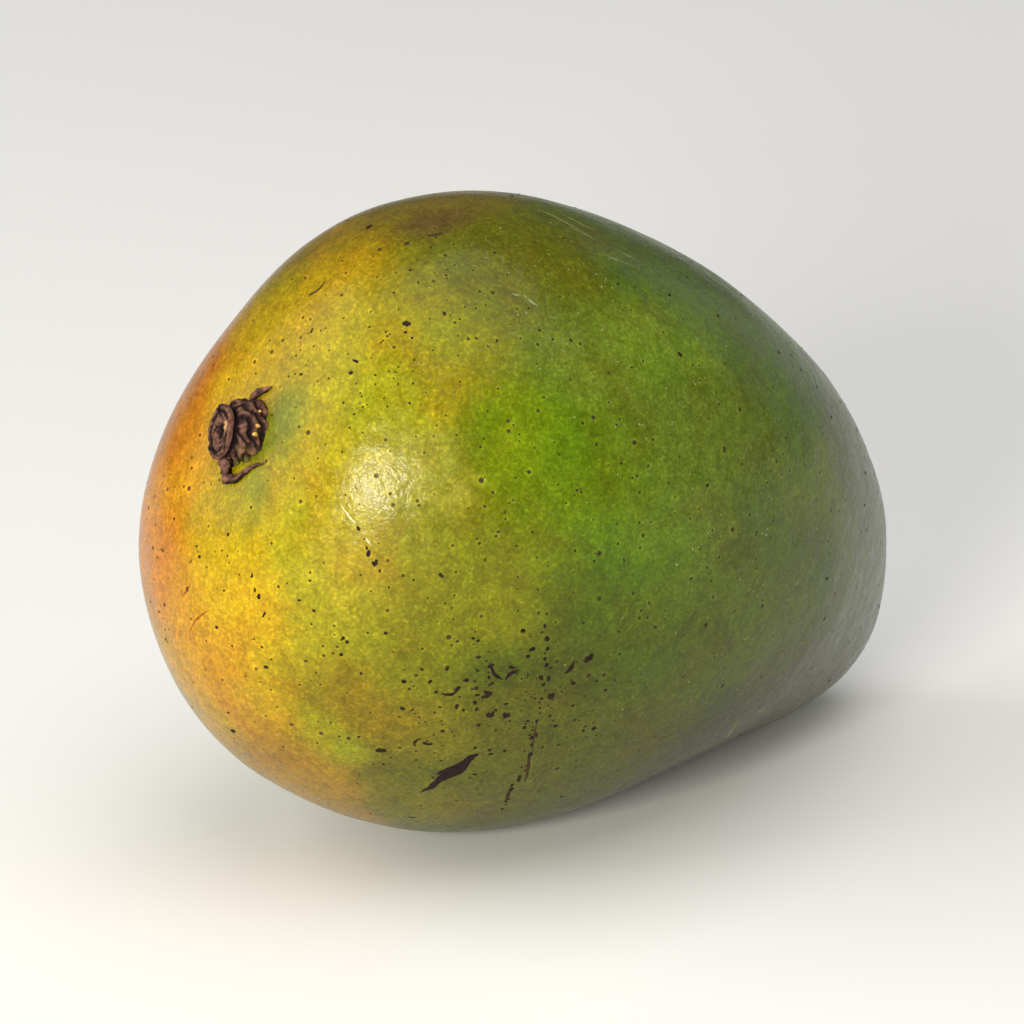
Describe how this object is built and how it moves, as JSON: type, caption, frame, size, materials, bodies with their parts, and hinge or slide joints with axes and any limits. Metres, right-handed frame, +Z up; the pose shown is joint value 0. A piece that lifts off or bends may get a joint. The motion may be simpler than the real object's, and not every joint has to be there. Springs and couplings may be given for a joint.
{
  "type": "mango",
  "caption": "Ripening mango lying on its belly: full stem end with a shallow cavity and a woody stalk stub, slimmer curved tip with a rounded beak, flat resting spot below",
  "frame": {"origin": "the middle of the small flat spot that the fruit rests on", "axes": "+Z up, out of the surface it rests on; the fruit's length runs along X with the stem end to -X and the beak to +X and lower; +Y to the cheek that faces away in the picture"},
  "size_m": [0.1174, 0.0749, 0.089],
  "materials": {
    "skin": "waxy, green to yellow and orange",
    "stalk": "dry bark"
  },
  "bodies": {
    "root": {"fruit": "skin", "stem_stub": "stalk"}
  },
  "joints": []
}
